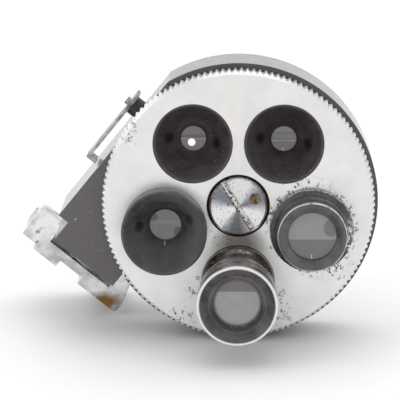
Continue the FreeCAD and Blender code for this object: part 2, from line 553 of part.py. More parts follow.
# ---------------------------------------------------------------- parallax lever on the flat side
LEVER_DEPTH = "strip_depth"
lever_strip = box("lever_strip",
                  ("0 - flat_side - strip_off - strip_thick", LEVER_DEPTH, "0 - strip_bottom"),
                  ("0 - flat_side - strip_off", "strip_depth + strip_width", "strip_top"))
lever_foot = box("lever_foot", ("0 - flat_side - strip_off - 0.1", LEVER_DEPTH, "0 - strip_bottom"),
                 ("0 - flat_side - gap", "strip_depth + strip_width", "0 - strip_bottom + strip_thick"))
lever_body = joined("lever_body", lever_strip, lever_foot)
piece("parallax_lever", cut("parallax_lever", lever_body,
                            rod("lever_bore", 0.85, 6, (-30, "strip_depth + strip_width*0.5", 0), "X")))
piece("lever_boss", rod("lever_boss", 1.9, "strip_off - 0.15",
                        ("0 - flat_side - strip_off + 0.1", "strip_depth + strip_width*0.5", 0), "X"))
slotted("lever_screw", [(-28.2, size("strip_depth") + size("strip_width") / 2, 0.0)], 0.8, 1.45,
        axis="X")

# ---------------------------------------------------------------- lay the finder on its side
doc.recompute()


def failed(obj):
    return any(word in obj.State for word in ("Invalid", "Error"))


broken = [obj.Name for obj in doc.Objects if failed(obj)]
broken += [name for name, obj in PIECES.items() if obj.Shape.isNull() or not obj.Shape.isValid()]
if broken:
    raise SystemExit(f"not made: {broken}")

tilt = Placement(Vector(0, 0, 0), Rotation(Vector(0, 1, 0), size("roll")))
for obj in PIECES.values():
    obj.Placement = tilt.multiply(obj.Placement)
boxes = [obj.Shape.optimalBoundingBox(False, False) for obj in PIECES.values()]
middle_x = (min(b.XMin for b in boxes) + max(b.XMax for b in boxes)) / 2
middle_y = (min(b.YMin for b in boxes) + max(b.YMax for b in boxes)) / 2
lowest = min(b.ZMin for b in boxes)
lift = Placement(Vector(-middle_x, -middle_y, -lowest), Rotation())
for obj in PIECES.values():
    obj.Placement = lift.multiply(obj.Placement)
doc.recompute()

for name, obj in PIECES.items():
    if obj.Shape.isNull() or not obj.Shape.isValid():
        raise SystemExit(f"{name} is not valid")
    obj.Shape.exportStep(f"parts/{name}.step")
print("turret axis at", -middle_x, -middle_y, -lowest)
print("pieces", len(PIECES))
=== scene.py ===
# %% [markdown]
# A turret viewfinder, as a lesson in cells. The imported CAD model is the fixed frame: its nodes
# give every place and size. Here each piece gets its finish, and the pieces whose edges and
# grooves a lathe would leave are turned again as fine surfaces worked out with numpy.

# %% load the frame
import bpy
import math
import numpy as np
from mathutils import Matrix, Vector


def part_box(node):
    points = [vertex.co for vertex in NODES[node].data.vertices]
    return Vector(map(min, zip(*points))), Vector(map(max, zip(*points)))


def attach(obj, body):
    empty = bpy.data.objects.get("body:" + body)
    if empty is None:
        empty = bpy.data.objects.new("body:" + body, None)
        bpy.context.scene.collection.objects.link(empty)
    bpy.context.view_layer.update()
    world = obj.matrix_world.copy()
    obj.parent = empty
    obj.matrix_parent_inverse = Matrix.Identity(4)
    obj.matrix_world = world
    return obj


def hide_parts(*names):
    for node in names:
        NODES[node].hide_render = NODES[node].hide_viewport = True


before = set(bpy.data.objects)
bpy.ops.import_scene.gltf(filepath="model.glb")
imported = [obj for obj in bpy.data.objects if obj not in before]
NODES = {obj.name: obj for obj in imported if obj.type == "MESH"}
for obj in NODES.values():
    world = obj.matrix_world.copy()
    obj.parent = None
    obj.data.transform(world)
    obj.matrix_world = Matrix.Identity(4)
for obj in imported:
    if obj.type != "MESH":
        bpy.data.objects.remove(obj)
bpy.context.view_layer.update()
MM = 0.001
ROLL = math.radians(39.0)

# %% [markdown]
# All places come from the frame. The disc's box gives the turret axis, and the lens cells'
# boxes give the five lens axes. The finder lies rolled on its side, which matters only to the
# screwdriver slot, because everything else here is round. A lathe-turned piece is written as
# pairs of radius and depth in millimetres, with depth counted backwards from the disc's face.

# %% the turret axis
disc_low, disc_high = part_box("turret_disc")
AXIS = np.array([(disc_low.x + disc_high.x) / 2, disc_low.y, (disc_low.z + disc_high.z) / 2])


def middle(node):
    """The centre of a node's box, seen along the turret axis, at the disc's front face."""
    low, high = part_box(node)
    return np.array([(low.x + high.x) / 2, AXIS[1], (low.z + high.z) / 2])


def front(node):
    """How deep a node's foremost point lies behind the disc's face, in millimetres."""
    return (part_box(node)[0].y - AXIS[1]) / MM


def half(node):
    """Half of a round node's width, in millimetres."""
    low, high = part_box(node)
    return (high.x - low.x) / 2 / MM


print("turret axis in mm", (AXIS / MM).round(2), "disc radius", round(half("turret_disc"), 2))

# %% [markdown]
# The camera stands a little above the disc and looks down at it by twelve degrees, from far
# enough that the circles stay nearly round.

# %% camera
PITCH = math.radians(12.0)
YAW = math.radians(-1.3)
DISTANCE = 0.45
LEFTWARDS = 7.25 * MM
RAISED = 1.1 * MM
sideways = np.array([math.cos(YAW), -math.sin(YAW), 0.0])
ahead = np.array([math.sin(YAW), math.cos(YAW), 0.0])
forward = ahead * math.cos(PITCH) - np.array([0.0, 0.0, math.sin(PITCH)])
lifted = np.cross(sideways, forward)
camera_data = bpy.data.cameras.new("camera")
camera_data.lens = 213.4
camera_data.sensor_width = 36.0
camera = bpy.data.objects.new("camera", camera_data)
camera.location = AXIS - forward * DISTANCE - sideways * LEFTWARDS + lifted * RAISED
camera.rotation_euler = (math.radians(90.0) - PITCH, 0.0, -YAW)
camera_data.clip_start, camera_data.clip_end = 0.01, 20.0
bpy.context.scene.collection.objects.link(camera)
bpy.context.scene.camera = camera
print("camera at mm", [round(c / MM, 1) for c in camera.location])

# %% [markdown]
# A white table in a tent of light. A broad soft lamp hangs above and behind, so that the
# shadow falls forwards, and a weaker one stands at the left. The white surround is what the
# polished pieces mirror.

# %% floor and light
bpy.ops.mesh.primitive_plane_add(size=6.0, location=(0, 0, 0))
floor = bpy.context.object
floor.name = "table"


def lamp(name, place, aim, power, width):
    """A square soft lamp at a place, turned towards a point."""
    data = bpy.data.lights.new(name, "AREA")
    data.energy, data.size = power, width
    made = bpy.data.objects.new(name, data)
    made.location = place
    made.rotation_euler = (Vector(aim) - Vector(place)).to_track_quat("-Z", "Y").to_euler()
    bpy.context.scene.collection.objects.link(made)


lamp("top_lamp", (0.05, 0.25, 0.9), (0, 0, 0.02), 1.8, 0.7)
lamp("left_lamp", (-0.8, -0.2, 0.5), (0, 0, 0.03), 0.5, 0.5)
world = bpy.data.worlds.new("tent")
bpy.context.scene.world = world
world.use_nodes = True
world.node_tree.nodes["Background"].inputs["Color"].default_value = (1, 1, 1, 1)
world.node_tree.nodes["Background"].inputs["Strength"].default_value = 0.97
bpy.context.scene.view_settings.view_transform = "Standard"

# %% [markdown]
# Every finish is built from the same few nodes: a place in the piece's own coordinates,
# fractal noise, a soft round patch, a distance from a lathe axis, and a bump. Small helpers
# keep each recipe short enough to read.

# %% helpers for finishes
def finish(name, colour, metallic, roughness, **sockets):
    """A new principled material with its plain sockets set."""
    material = bpy.data.materials.new(name)
    material.use_nodes = True
    shader = material.node_tree.nodes["Principled BSDF"]
    shader.inputs["Base Color"].default_value = (*colour, 1)
    shader.inputs["Metallic"].default_value = metallic
    shader.inputs["Roughness"].default_value = roughness
    for key, value in sockets.items():
        shader.inputs[key.replace("_", " ")].default_value = value
    return material, shader


def node(material, kind, **values):
    """Adds a node; values with a matching input socket set it, the others set a property."""
    made = material.node_tree.nodes.new("ShaderNode" + kind)
    for key, value in values.items():
        socket = key.replace("_", " ")
        if socket in made.inputs:
            made.inputs[socket].default_value = value
        else:
            setattr(made, key, value)
    return made


def wire(material, start, end):
    """Joins an output socket to an input socket."""
    material.node_tree.links.new(start, end)


def feed(material, value, socket):
    """Gives a socket a wire, a number or a colour."""
    if hasattr(value, "is_output"):
        wire(material, value, socket)
    elif isinstance(value, tuple):
        socket.default_value = (*value, 1)
    else:
        socket.default_value = value


def place_of(material, centre=(0, 0, 0), scale=(1, 1, 1)):
    """Object coordinates measured from a centre in the row frame, then stretched."""
    source = node(material, "TexCoord").outputs["Object"]
    shift = node(material, "Mapping")
    shift.inputs["Location"].default_value = [-c * s for c, s in zip(centre, scale)]
    shift.inputs["Scale"].default_value = scale
    wire(material, source, shift.inputs["Vector"])
    return shift.outputs["Vector"]


def calc(material, operation, first, second=0.0):
    """One sum on two numbers or sockets."""
    made = node(material, "Math", operation=operation)
    feed(material, first, made.inputs[0])
    feed(material, second, made.inputs[1])
    return made.outputs[0]


def spread(material, value, low, high, start=0.0, end=1.0):
    """Stretches a value so that low becomes start and high becomes end, and clamps it."""
    made = node(material, "MapRange")
    feed(material, value, made.inputs["Value"])
    for key, number in (("From Min", low), ("From Max", high), ("To Min", start), ("To Max", end)):
        made.inputs[key].default_value = number
    return made.outputs["Result"]


def noise(material, vector, scale, detail=3.0, low=0.4, high=0.6):
    """Fractal noise, stretched so that low becomes 0 and high becomes 1."""
    made = node(material, "TexNoise", Scale=scale, Detail=detail)
    wire(material, vector, made.inputs["Vector"])
    return spread(material, made.outputs["Fac"], low, high)


def mix(material, factor, first, second):
    """A colour between two, by a factor that may be a socket."""
    made = node(material, "Mix", data_type="RGBA")
    feed(material, factor, made.inputs["Factor"])
    feed(material, first, made.inputs[6])
    feed(material, second, made.inputs[7])
    return made.outputs[2]


def parts(material, vector):
    """The X, Y and Z of a vector as three sockets."""
    made = node(material, "SeparateXYZ")
    wire(material, vector, made.inputs[0])
    return made.outputs


def length_of(material, vector):
    """How long a vector is."""
    made = node(material, "VectorMath", operation="LENGTH")
    wire(material, vector, made.inputs[0])
    return made.outputs["Value"]


def radial(material, centre):
    """Distance from the line through a centre parallel to the turret axis, in millimetres."""
    return length_of(material, place_of(material, centre, (1 / MM, 0, 1 / MM)))


def patch(material, centre, x, z, wide, high, soft=0.5):
    """A soft oval patch, 1 inside and 0 outside; x and z are millimetres from the centre."""
    middle_point = (centre[0] + x * MM, centre[1], centre[2] + z * MM)
    vector = place_of(material, middle_point, (1 / (wide * MM), 0, 1 / (high * MM)))
    return spread(material, length_of(material, vector), 1.0 + soft, 1.0 - soft)


def most(material, *values):
    """The largest of several masks."""
    total = values[0]
    for value in values[1:]:
        total = calc(material, "MAXIMUM", total, value)
    return total


def turning_lines(material, pitch):
    """The lathe's fine grooves: a sine of the distance from the turret axis, `pitch` mm apart."""
    waves = calc(material, "MULTIPLY", radial(material, AXIS), 2 * math.pi / pitch)
    return calc(material, "SINE", waves)


def streaked(material, shader):
    """Turns the metal's stretched highlight round the turret axis, as lathe grooves do."""
    tangent = node(material, "Tangent", direction_type="RADIAL", axis="Y")
    wire(material, tangent.outputs[0], shader.inputs["Tangent"])


def bump(material, shader, height, strength, distance):
    """Lifts and sinks the surface's shading by a height; distance is in metres."""
    made = node(material, "Bump", Strength=strength, Distance=distance)
    wire(material, height, made.inputs["Height"])
    wire(material, made.outputs["Normal"], shader.inputs["Normal"])


def paint(name, material):
    """Gives a CAD node its finish."""
    NODES[name].data.materials.clear()
    NODES[name].data.materials.append(material)


print("nodes of the frame", len(NODES))

# %% [markdown]
# A lathe-turned piece is a closed outline of radius and depth, swept round its axis. Real
# edges are never sharp, so each corner of the outline is replaced by a short curve: a point
# of the curve is a blend of the two neighbours' sides and the corner, with the weights
# one-minus-u squared, twice u times one-minus-u, and u squared.

# %% helpers for turned pieces
def softened(corners, reach=0.12, steps=4):
    """Rounds every corner of a closed outline. The curve starts and ends at most `reach` mm
    from the corner, and never beyond 45 percent of a side."""
    corner = np.array(corners, float)
    u = np.linspace(0.0, 1.0, steps)[None, :, None]
    sides = []
    for other in (np.roll(corner, 1, axis=0), np.roll(corner, -1, axis=0)):
        length = np.linalg.norm(other - corner, axis=1, keepdims=True)
        share = np.minimum(reach / np.maximum(length, 1e-9), 0.45)
        sides.append((corner + (other - corner) * share)[:, None, :])
    start, end, tip = sides[0], sides[1], corner[:, None, :]
    curve = (1 - u) ** 2 * start + 2 * u * (1 - u) * tip + u ** 2 * end
    return curve.reshape(-1, 2)


def grooved(start, end, pitch, deep):
    """Points along a slope from start to end with a fine thread: every second point is pushed
    `deep` mm to the slope's left."""
    start, end = np.array(start, float), np.array(end, float)
    run = end - start
    length = np.linalg.norm(run)
    count = 2 * max(int(length / pitch), 1) + 1
    share = np.linspace(0.0, 1.0, count)[:, None]
    side = np.array([-run[1], run[0]]) / length
    return start + run * share + side * deep * (np.arange(count) % 2)[:, None]


def lathe(outline, centre, segments=192):
    """Vertices and quads of a closed outline swept round the axis through the centre: x is
    centre + r cos a, z is centre + r sin a, y is the disc's face + depth."""
    outline = np.asarray(outline, float) * MM
    turn = np.linspace(0.0, 2 * np.pi, segments, endpoint=False)
    radius, depth = outline[:, 0:1], outline[:, 1:2]
    points = np.stack([centre[0] + radius * np.cos(turn), centre[1] + depth + 0 * turn,
                       centre[2] + radius * np.sin(turn)], axis=-1).reshape(-1, 3)
    rows = len(outline)
    grid = np.arange(rows * segments).reshape(rows, segments)
    ahead = np.roll(grid, -1, axis=0)
    quads = np.stack([grid, ahead, np.roll(ahead, -1, axis=1), np.roll(grid, -1, axis=1)],
                     axis=-1).reshape(-1, 4)
    area = np.sum(radius * np.roll(depth, -1, axis=0) - np.roll(radius, -1, axis=0) * depth)
    return points, quads[:, ::-1] if area < 0 else quads


def piece(name, surface, material, body, slot_name, *nodes):
    """Makes the mesh, smooths it where the angle is small, and puts it in the frame in place
    of its nodes."""
    points, faces = surface
    mesh = bpy.data.meshes.new(name)
    mesh.from_pydata(points, [], faces)
    mesh.validate()
    mesh.shade_smooth()
    mesh.set_sharp_from_angle(angle=math.radians(50))
    mesh.materials.append(material)
    made = bpy.data.objects.new(name, mesh)
    bpy.context.scene.collection.objects.link(made)
    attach(made, body)
    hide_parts(*nodes)


print("a plain ring has", len(lathe(softened([(5, 0), (6, 0), (6, 2), (5, 2)]), AXIS)[0]), "points")

# %% [markdown]
# The disc is aluminium turned on a lathe. Its fine circular grooves throw the light out in a
# narrow streak across the disc, which anisotropic roughness gives; a faint warm streak above
# the centre is painted highlight on top of it, and a soft brown patch below the centre is a
# painted reflection of the long barrel. Years of handling left dark pits where the barrels
# were gripped and where the rim was scuffed: a fine noise, allowed only inside soft patches.

# %% finish of the turned disc
silver, shader = finish("turned_aluminium", (0.80, 0.80, 0.79), 1.0, 0.36, Anisotropic=0.8,
                        Anisotropic_Rotation=0.25)
streaked(silver, shader)
MEDIUM, LONG = middle("medium_barrel"), middle("long_barrel")
fine = noise(silver, place_of(silver), 2600.0, 4.0, 0.46, 0.56)
coarse = noise(silver, place_of(silver), 900.0, 5.0, 0.45, 0.60)
crumbs = calc(silver, "MULTIPLY", fine, coarse)
worn = most(silver,
            patch(silver, AXIS, -8.2, -15.6, 1.6, 1.9), patch(silver, AXIS, -11.6, -21.8, 3.0, 1.6),
            patch(silver, AXIS, -20.6, 14.6, 1.5, 2.6), patch(silver, AXIS, 8.6, -20.0, 1.6, 3.4),
            patch(silver, AXIS, 12.3, 4.2, 4.0, 1.2), patch(silver, AXIS, 17.5, -12.4, 5.5, 1.6),
            patch(silver, AXIS, -3.0, -6.0, 2.0, 1.6))
ring = spread(silver, calc(silver, "ABSOLUTE", calc(silver, "SUBTRACT", radial(silver, MEDIUM), 8.2)),
              0.9, 0.1)
spots = calc(silver, "MULTIPLY", spread(silver, crumbs, 0.3, 0.75), most(silver, worn, ring))
grain = noise(silver, place_of(silver), 260.0, 4.0, 0.3, 0.7)
base = mix(silver, grain, (0.76, 0.765, 0.76), (0.84, 0.835, 0.82))
base = mix(silver, spots, base, (0.24, 0.21, 0.185))
# Painted reflection: a soft brown patch below the centre screw stands for the long barrel mirrored in
# the disc.
painted_tube_reflection = calc(silver, "MULTIPLY", patch(silver, AXIS, 0.2, -7.6, 3.8, 3.2, 0.5), 0.85)
base = mix(silver, painted_tube_reflection, base, (0.22, 0.18, 0.155))
# Painted highlight: a faint warm streak above the centre screw, over the anisotropic sheen.
painted_highlight_streak = calc(silver, "MULTIPLY", patch(silver, AXIS, 0.0, 16.0, 0.42, 11.5, 0.4), 0.35)
base = mix(silver, painted_highlight_streak, base, (0.95, 0.80, 0.74))
# Painted shade: the disc is darkened to a dark brown within 6 mm of the axis, in the gap round the
# centre screw's head.
painted_gap_shade = spread(silver, radial(silver, AXIS), 6.06, 5.98)
base = mix(silver, painted_gap_shade, base, (0.05, 0.022, 0.014))
wire(silver, base, shader.inputs["Base Color"])
wire(silver, spread(silver, spots, 0.0, 1.0, 0.34, 0.8), shader.inputs["Roughness"])
grooves = calc(silver, "MULTIPLY", turning_lines(silver, 0.16), 0.12)
height = calc(silver, "SUBTRACT", grooves, spots)
bump(silver, shader, height, 0.35, 0.00004)
paint("turret_disc", silver)
print("disc painted", silver.name)

# %% [markdown]
# Anodised black on the cells and barrels. It isn't really black: a bright room lifts it to a
# warm charcoal, and thin dust sits in the grooves. Where fingers rub, the bare metal shows.

# %% black finishes
def blacked(name, dark, pale, roughness, centre, bright=None, dust=0.0, hole_shade_marks=(), rubs=(),
            ticks=(), shade=None):
    """A satin black with soft cloudy wear. `bright` is (inner, outer, chip level, lip): metal
    shows through from the inner to the outer radius, just behind the lip's depth. Hole shade
    marks are near-black spots of painted shade standing for spanner holes, rubs are bare
    patches that need `bright`, ticks are pale index lines, and shade is the radius within which
    the lower half lies in shadow."""
    material, shader = finish(name, dark, 0.0, roughness, Coat_Weight=0.15, Coat_Roughness=0.25)
    cloud = noise(material, place_of(material), 420.0, 5.0, 0.35, 0.7)
    colour = mix(material, cloud, dark, pale)
    if dust:
        specks = noise(material, place_of(material), 3200.0, 2.0, 0.70, 0.74)
        colour = mix(material, calc(material, "MULTIPLY", specks, dust), colour, (0.6, 0.58, 0.55))
    # Painted shade: each mark is a near-black spot for the inside of a spanner hole.
    for x, z in hole_shade_marks:
        colour = mix(material, patch(material, centre, x, z, 0.75, 1.05, 0.3), colour,
                     (0.006, 0.005, 0.005))
    for x, z in ticks:
        line = patch(material, centre, x, z, 0.09, 0.36, 0.2)
        colour = mix(material, line, colour, (0.6, 0.58, 0.54))
    if shade:
        low = parts(material, place_of(material, centre, (1 / MM, 0, 1 / MM)))[2]
        under = calc(material, "MULTIPLY", spread(material, low, 1.0, -1.5),
                     spread(material, radial(material, centre), shade + 0.1, shade - 0.1))
        colour = mix(material, under, colour, (0.012, 0.009, 0.009))
    if bright:
        inner, outer, level, lip = bright
        chips = noise(material, place_of(material), 1300.0, 4.0, level, level + 0.16)
        back = parts(material, place_of(material, centre, (1 / MM, 1 / MM, 1 / MM)))[1]
        edge = calc(material, "MULTIPLY", spread(material, radial(material, centre), inner, outer),
                    spread(material, back, lip + 1.1, lip + 0.4))
        for rub in rubs:
            edge = most(material, edge, patch(material, centre, *rub))
        edge = calc(material, "MULTIPLY", edge, chips)
        colour = mix(material, edge, colour, (0.74, 0.73, 0.72))
        wire(material, edge, shader.inputs["Metallic"])
    wire(material, colour, shader.inputs["Base Color"])
    wire(material, spread(material, cloud, 0, 1, roughness - 0.06, roughness + 0.08),
         shader.inputs["Roughness"])
    bump(material, shader, noise(material, place_of(material), 2600.0, 3.0, 0.3, 0.7), 0.25, 0.00002)
    return material


inner_black = blacked("black_anodised", (0.028, 0.022, 0.022), (0.05, 0.042, 0.042), 0.42, AXIS)
for name in ("wide_mask", "second_wide_mask", "medium_mask", "long_mask", "short_mask",
             "erecting_lens_cell", "eyepiece_tube", "lever_boss"):
    paint(name, inner_black)
print("black nodes painted")

# %% [markdown]
# The two wide-angle cells are funnels screwed almost flush into the disc. The funnel's wall is
# threaded so that it doesn't glare: about thirty fine grooves on the slope, each a few
# hundredths of a millimetre deep. Two spanner holes flank each lens, painted as near-black
# spots of shade rather than cut.

# %% the two funnels
SPIGOT, SPIGOT_END, SHOULDER = 5.4, 11.0, 4.6


def spigot(bore, seat):
    """The rear end that all five cells share, from the bore out to the seat in the disc."""
    return [(bore, SPIGOT_END), (SPIGOT, SPIGOT_END), (SPIGOT, SHOULDER), (seat, SHOULDER)]


def funnel(outer, mouth, lens, lip, floor_depth, groove):
    """The front outline of a cell: its lip, then the grooved slope down to the lens."""
    slope = grooved((mouth, lip + 0.15), (lens, floor_depth), groove, 0.05)
    rim = softened([(outer, 1.0), (outer, lip), (mouth + 0.1, lip)], 0.1)[4:-1]
    return np.vstack([rim, slope])


for name in ("wide_cell", "second_wide_cell"):
    where = middle(name)
    skin = blacked(name + "_black", (0.030, 0.024, 0.025), (0.052, 0.044, 0.046), 0.38, where,
                   dust=0.5, hole_shade_marks=((-4.5, 0.6), (4.5, -0.4)))
    rear = [(2.4, 5.9), (3.2, 5.9), (3.2, 7.4), (2.4, 7.4), *spigot(2.4, 6.7), (7.6, 4.0)]
    outline = np.vstack([funnel(7.6, 7.1, 2.8, front(name), 5.5, 0.22), rear])
    piece(name + "_turned", lathe(outline, where), skin, "turret", "black_anodised", name)
print("funnels turned")

# %% [markdown]
# The short telephoto cell stands a few millimetres out of the disc and has the same grooved
# funnel inside. Its outside is smooth, with a narrow rounded lip.

# %% the short barrel
where = middle("short_barrel")
reach = half("short_barrel")
proud = front("short_barrel")
# Its two spanner holes are near-black spots of painted shade.
skin = blacked("short_barrel_black", (0.036, 0.030, 0.032), (0.075, 0.068, 0.07), 0.36, where,
               dust=0.5, hole_shade_marks=((-4.9, 0.3), (4.7, 1.9)), ticks=((-0.1, -3.45),))
slope = grooved((reach - 0.6, proud + 0.2), (3.0, 3.7), 0.24, 0.06)
rim = softened([(reach, -0.1), (reach, proud), (reach - 0.55, proud)], 0.2)[3:-1]
shank = [(3.4, 3.9), (3.4, 5.6), (2.6, 5.6), *spigot(2.6, 7.0), (7.0, -0.02), (reach, -0.02)]
piece("short_barrel_turned", lathe(np.vstack([rim, slope, shank]), where), skin, "turret",
      "black_anodised", "short_barrel")
print("short barrel radius", round(reach, 2), "front at", round(proud, 2))

# %% [markdown]
# The medium barrel is a short tapered tube with a separate front ring that holds its lens.
# The ring's edge is the first thing to touch a pocket or a table, so its black is rubbed
# through to silver.

# %% the medium barrel and its ring
where = MEDIUM
proud = front("medium_front_ring")
barrel = softened([(4.55, proud + 1.4), (6.05, proud + 1.4), (6.05, proud + 3.0),
                   (6.75, proud + 3.1), (7.05, -1.9), (7.95, -1.5), (7.95, -0.02), (7.0, -0.02),
                   *spigot(3.65, 7.0)[::-1], (3.65, proud + 3.6), (4.55, proud + 3.6)], 0.15)
skin = blacked("medium_barrel_black", (0.03, 0.026, 0.028), (0.075, 0.07, 0.075), 0.3, where,
               bright=(7.8, 7.95, 0.45, -1.5), dust=0.4,
               rubs=((7.2, -1.6, 0.9, 3.4), (3.5, -7.3, 2.2, 0.5)))
piece("medium_barrel_turned", lathe(barrel, where), skin, "turret", "black_anodised",
      "medium_barrel")
ring_outline = softened([(4.55, proud + 0.75), (5.72, proud + 0.03), (6.55, proud),
                         (6.55, proud + 2.9), (6.07, proud + 2.9), (6.07, proud + 1.35),
                         (4.55, proud + 1.35)], 0.14)
skin = blacked("medium_ring_black", (0.05, 0.046, 0.05), (0.11, 0.105, 0.11), 0.3, where,
               bright=(6.36, 6.46, 0.3, proud), dust=0.3)
piece("medium_ring_turned", lathe(ring_outline, where), skin, "turret", "black_anodised",
      "medium_front_ring")
print("medium barrel front at", round(proud, 2))

# %% [markdown]
# The long barrel carries the tele lens far out in front of the disc: a waisted tube, worn to
# a glossy brown-grey by handling, and a thick front ring whose rim is bare metal.

# %% the long barrel and its ring
where = LONG
proud = front("long_front_ring")
tube = softened([(4.5, proud + 2.6), (6.6, proud + 2.6), (6.6, proud + 5.0), (7.3, proud + 5.1),
                 (7.3, -11.0), (6.6, -10.2), (6.3, -8.6), (5.9, -7.4), (5.9, -2.6), (6.9, -1.4),
                 (6.9, -0.02), (6.8, -0.02), *spigot(3.5, 6.8)[::-1], (3.5, proud + 5.2),
                 (4.5, proud + 5.2)], 0.3)
skin, shader = finish("worn_black_barrel", (0.09, 0.08, 0.075), 0.6, 0.25, Coat_Weight=0.3,
                      Coat_Roughness=0.12)
cloud = noise(skin, place_of(skin), 330.0, 5.0, 0.35, 0.65)
chips = noise(skin, place_of(skin), 1500.0, 4.0, 0.60, 0.70)
wire(skin, mix(skin, chips, mix(skin, cloud, (0.05, 0.045, 0.042), (0.17, 0.15, 0.135)),
               (0.5, 0.46, 0.4)), shader.inputs["Base Color"])
wire(skin, spread(skin, cloud, 0, 1, 0.2, 0.36), shader.inputs["Roughness"])
bump(skin, shader, cloud, 0.2, 0.00003)
piece("long_barrel_turned", lathe(tube, where), skin, "turret", "worn_black_barrel", "long_barrel")
ring_outline = softened([(4.6, proud + 2.2), (5.4, proud + 1.9), (6.9, proud + 0.03),
                         (7.5, proud), (7.5, proud + 4.9), (6.62, proud + 4.9),
                         (6.62, proud + 2.5), (4.6, proud + 2.5)], 0.2)
skin = blacked("long_ring_black", (0.05, 0.045, 0.048), (0.11, 0.10, 0.105), 0.28, where,
               bright=(6.95, 7.12, 0.12, proud), dust=0.3, shade=5.3)
piece("long_ring_turned", lathe(ring_outline, where), skin, "turret", "worn_black_barrel",
      "long_front_ring")
print("long barrel front at", round(proud, 2))

# %% [markdown]
# Looking into each lens one sees the finder's inside: a pale upper field, the straight edge
# of the field mask, and a small bright index tick below it. The glass is modelled as a
# smooth coated surface over that picture, which is drawn with the glass's own coordinates.

# %% lenses
def bar(material, centre, x, z, wide, high, soft=0.06):
    """A soft-edged oblong, 1 inside; its middle and half sizes are in millimetres."""
    across, _, upward = parts(material, place_of(material, centre, (1 / MM, 0, 1 / MM)))
    masks = [spread(material, calc(material, "ABSOLUTE", calc(material, "SUBTRACT", value, where)),
                    size + soft, size - soft)
             for value, where, size in ((across, x, wide), (upward, z, high))]
    return calc(material, "MULTIPLY", *masks)


def seen_through(name, where, field, layers, painted_glow_spot=None):
    """The picture behind one lens: a cloudy field, then layers painted one over the other.
    Each layer is (mask maker, that mask's numbers, colour)."""
    material, shader = finish(name, field, 0.0, 0.06, Coat_Weight=1.0, Coat_Roughness=0.02)
    cloud = noise(material, place_of(material), 600.0, 3.0, 0.3, 0.7)
    colour = mix(material, cloud, field, tuple(1.15 * c for c in field))
    for maker, numbers, tone in layers:
        colour = mix(material, maker(material, where, *numbers), colour, tone)
    # Painted light: a small white patch that glows, standing for the eyepiece's light seen through
    # the lens.
    if painted_glow_spot:
        glow = patch(material, where, *painted_glow_spot, 0.72, 0.72, 0.1)
        wire(material, mix(material, glow, (0, 0, 0), (1, 1, 1)), shader.inputs["Emission Color"])
        shader.inputs["Emission Strength"].default_value = 0.9
    wire(material, colour, shader.inputs["Base Color"])
    return material


def inverse(maker):
    """The same mask turned inside out."""
    return lambda material, *numbers: calc(material, "SUBTRACT", 1.0, maker(material, *numbers))


WIDE, SECOND, SHORT = middle("wide_lens"), middle("second_wide_lens"), middle("short_lens")
SHADE = (0.045, 0.036, 0.036)
PALE_LINE = (0.42, 0.39, 0.38)
TICK = (0.72, 0.7, 0.66)
paint("wide_lens", seen_through("wide_view", WIDE, (0.15, 0.135, 0.135), (
    (bar, (0.0, 0.45, 2.7, 0.35, 0.2), (0.09, 0.07, 0.07)),
    (bar, (-0.4, 0.95, 1.3, 0.12, 0.1), (0.2, 0.18, 0.18)),
    (bar, (0.1, -0.1, 2.75, 0.05), PALE_LINE)), painted_glow_spot=(-0.35, -0.8)))
paint("second_wide_lens", seen_through("second_wide_view", SECOND, (0.12, 0.105, 0.11), (
    (bar, (0.0, 2.0, 3.0, 0.75, 0.2), (0.2, 0.185, 0.19)),
    (bar, (0.0, 1.1, 2.6, 0.10, 0.1), (0.07, 0.06, 0.06)),
    (bar, (0.0, 0.5, 1.9, 0.45, 0.3), (0.17, 0.155, 0.16)),
    (bar, (0.1, -0.4, 2.5, 0.05), PALE_LINE),
    (bar, (-0.2, -2.0, 0.05, 0.26, 0.05), TICK))))
paint("short_lens", seen_through("short_view", SHORT, (0.2, 0.185, 0.195), (
    (bar, (0.0, 0.35, 2.6, 0.42, 0.1), (0.26, 0.24, 0.25)),
    (patch, (-2.4, 1.4, 0.9, 0.8, 0.15), SHADE),
    (patch, (2.4, -1.5, 0.85, 0.95, 0.15), SHADE))))
paint("medium_lens", seen_through("medium_view", MEDIUM, (0.24, 0.225, 0.23), (
    (bar, (0.0, -3.1, 5.0, 2.45, 0.1), (0.13, 0.12, 0.125)),
    (patch, (3.4, 1.5, 1.3, 1.6, 0.08), (0.13, 0.12, 0.125)),
    (bar, (0.0, -0.62, 4.4, 0.05), (0.3, 0.28, 0.285)),
    (bar, (-0.1, -4.0, 0.07, 0.38, 0.05), TICK))))
paint("long_lens", seen_through("long_view", LONG, (0.26, 0.26, 0.275), (
    (bar, (0.0, 4.0, 5.0, 1.9, 0.08), (0.115, 0.1, 0.11)),
    (inverse(patch), (0.0, 0.0, 4.1, 4.1, 0.06), SHADE))))
print("five lenses painted")

# %% [markdown]
# The broad head in the middle holds the disc on its axle. It is steel, turned in the lathe,
# and its anisotropic sheen is joined by painted highlight and shade: bright and dark fans
# round the centre, drawn into its colour by angle. The wide screwdriver slot is burred and
# dirty, and the small brass lock screw beside it keeps the head from working loose.

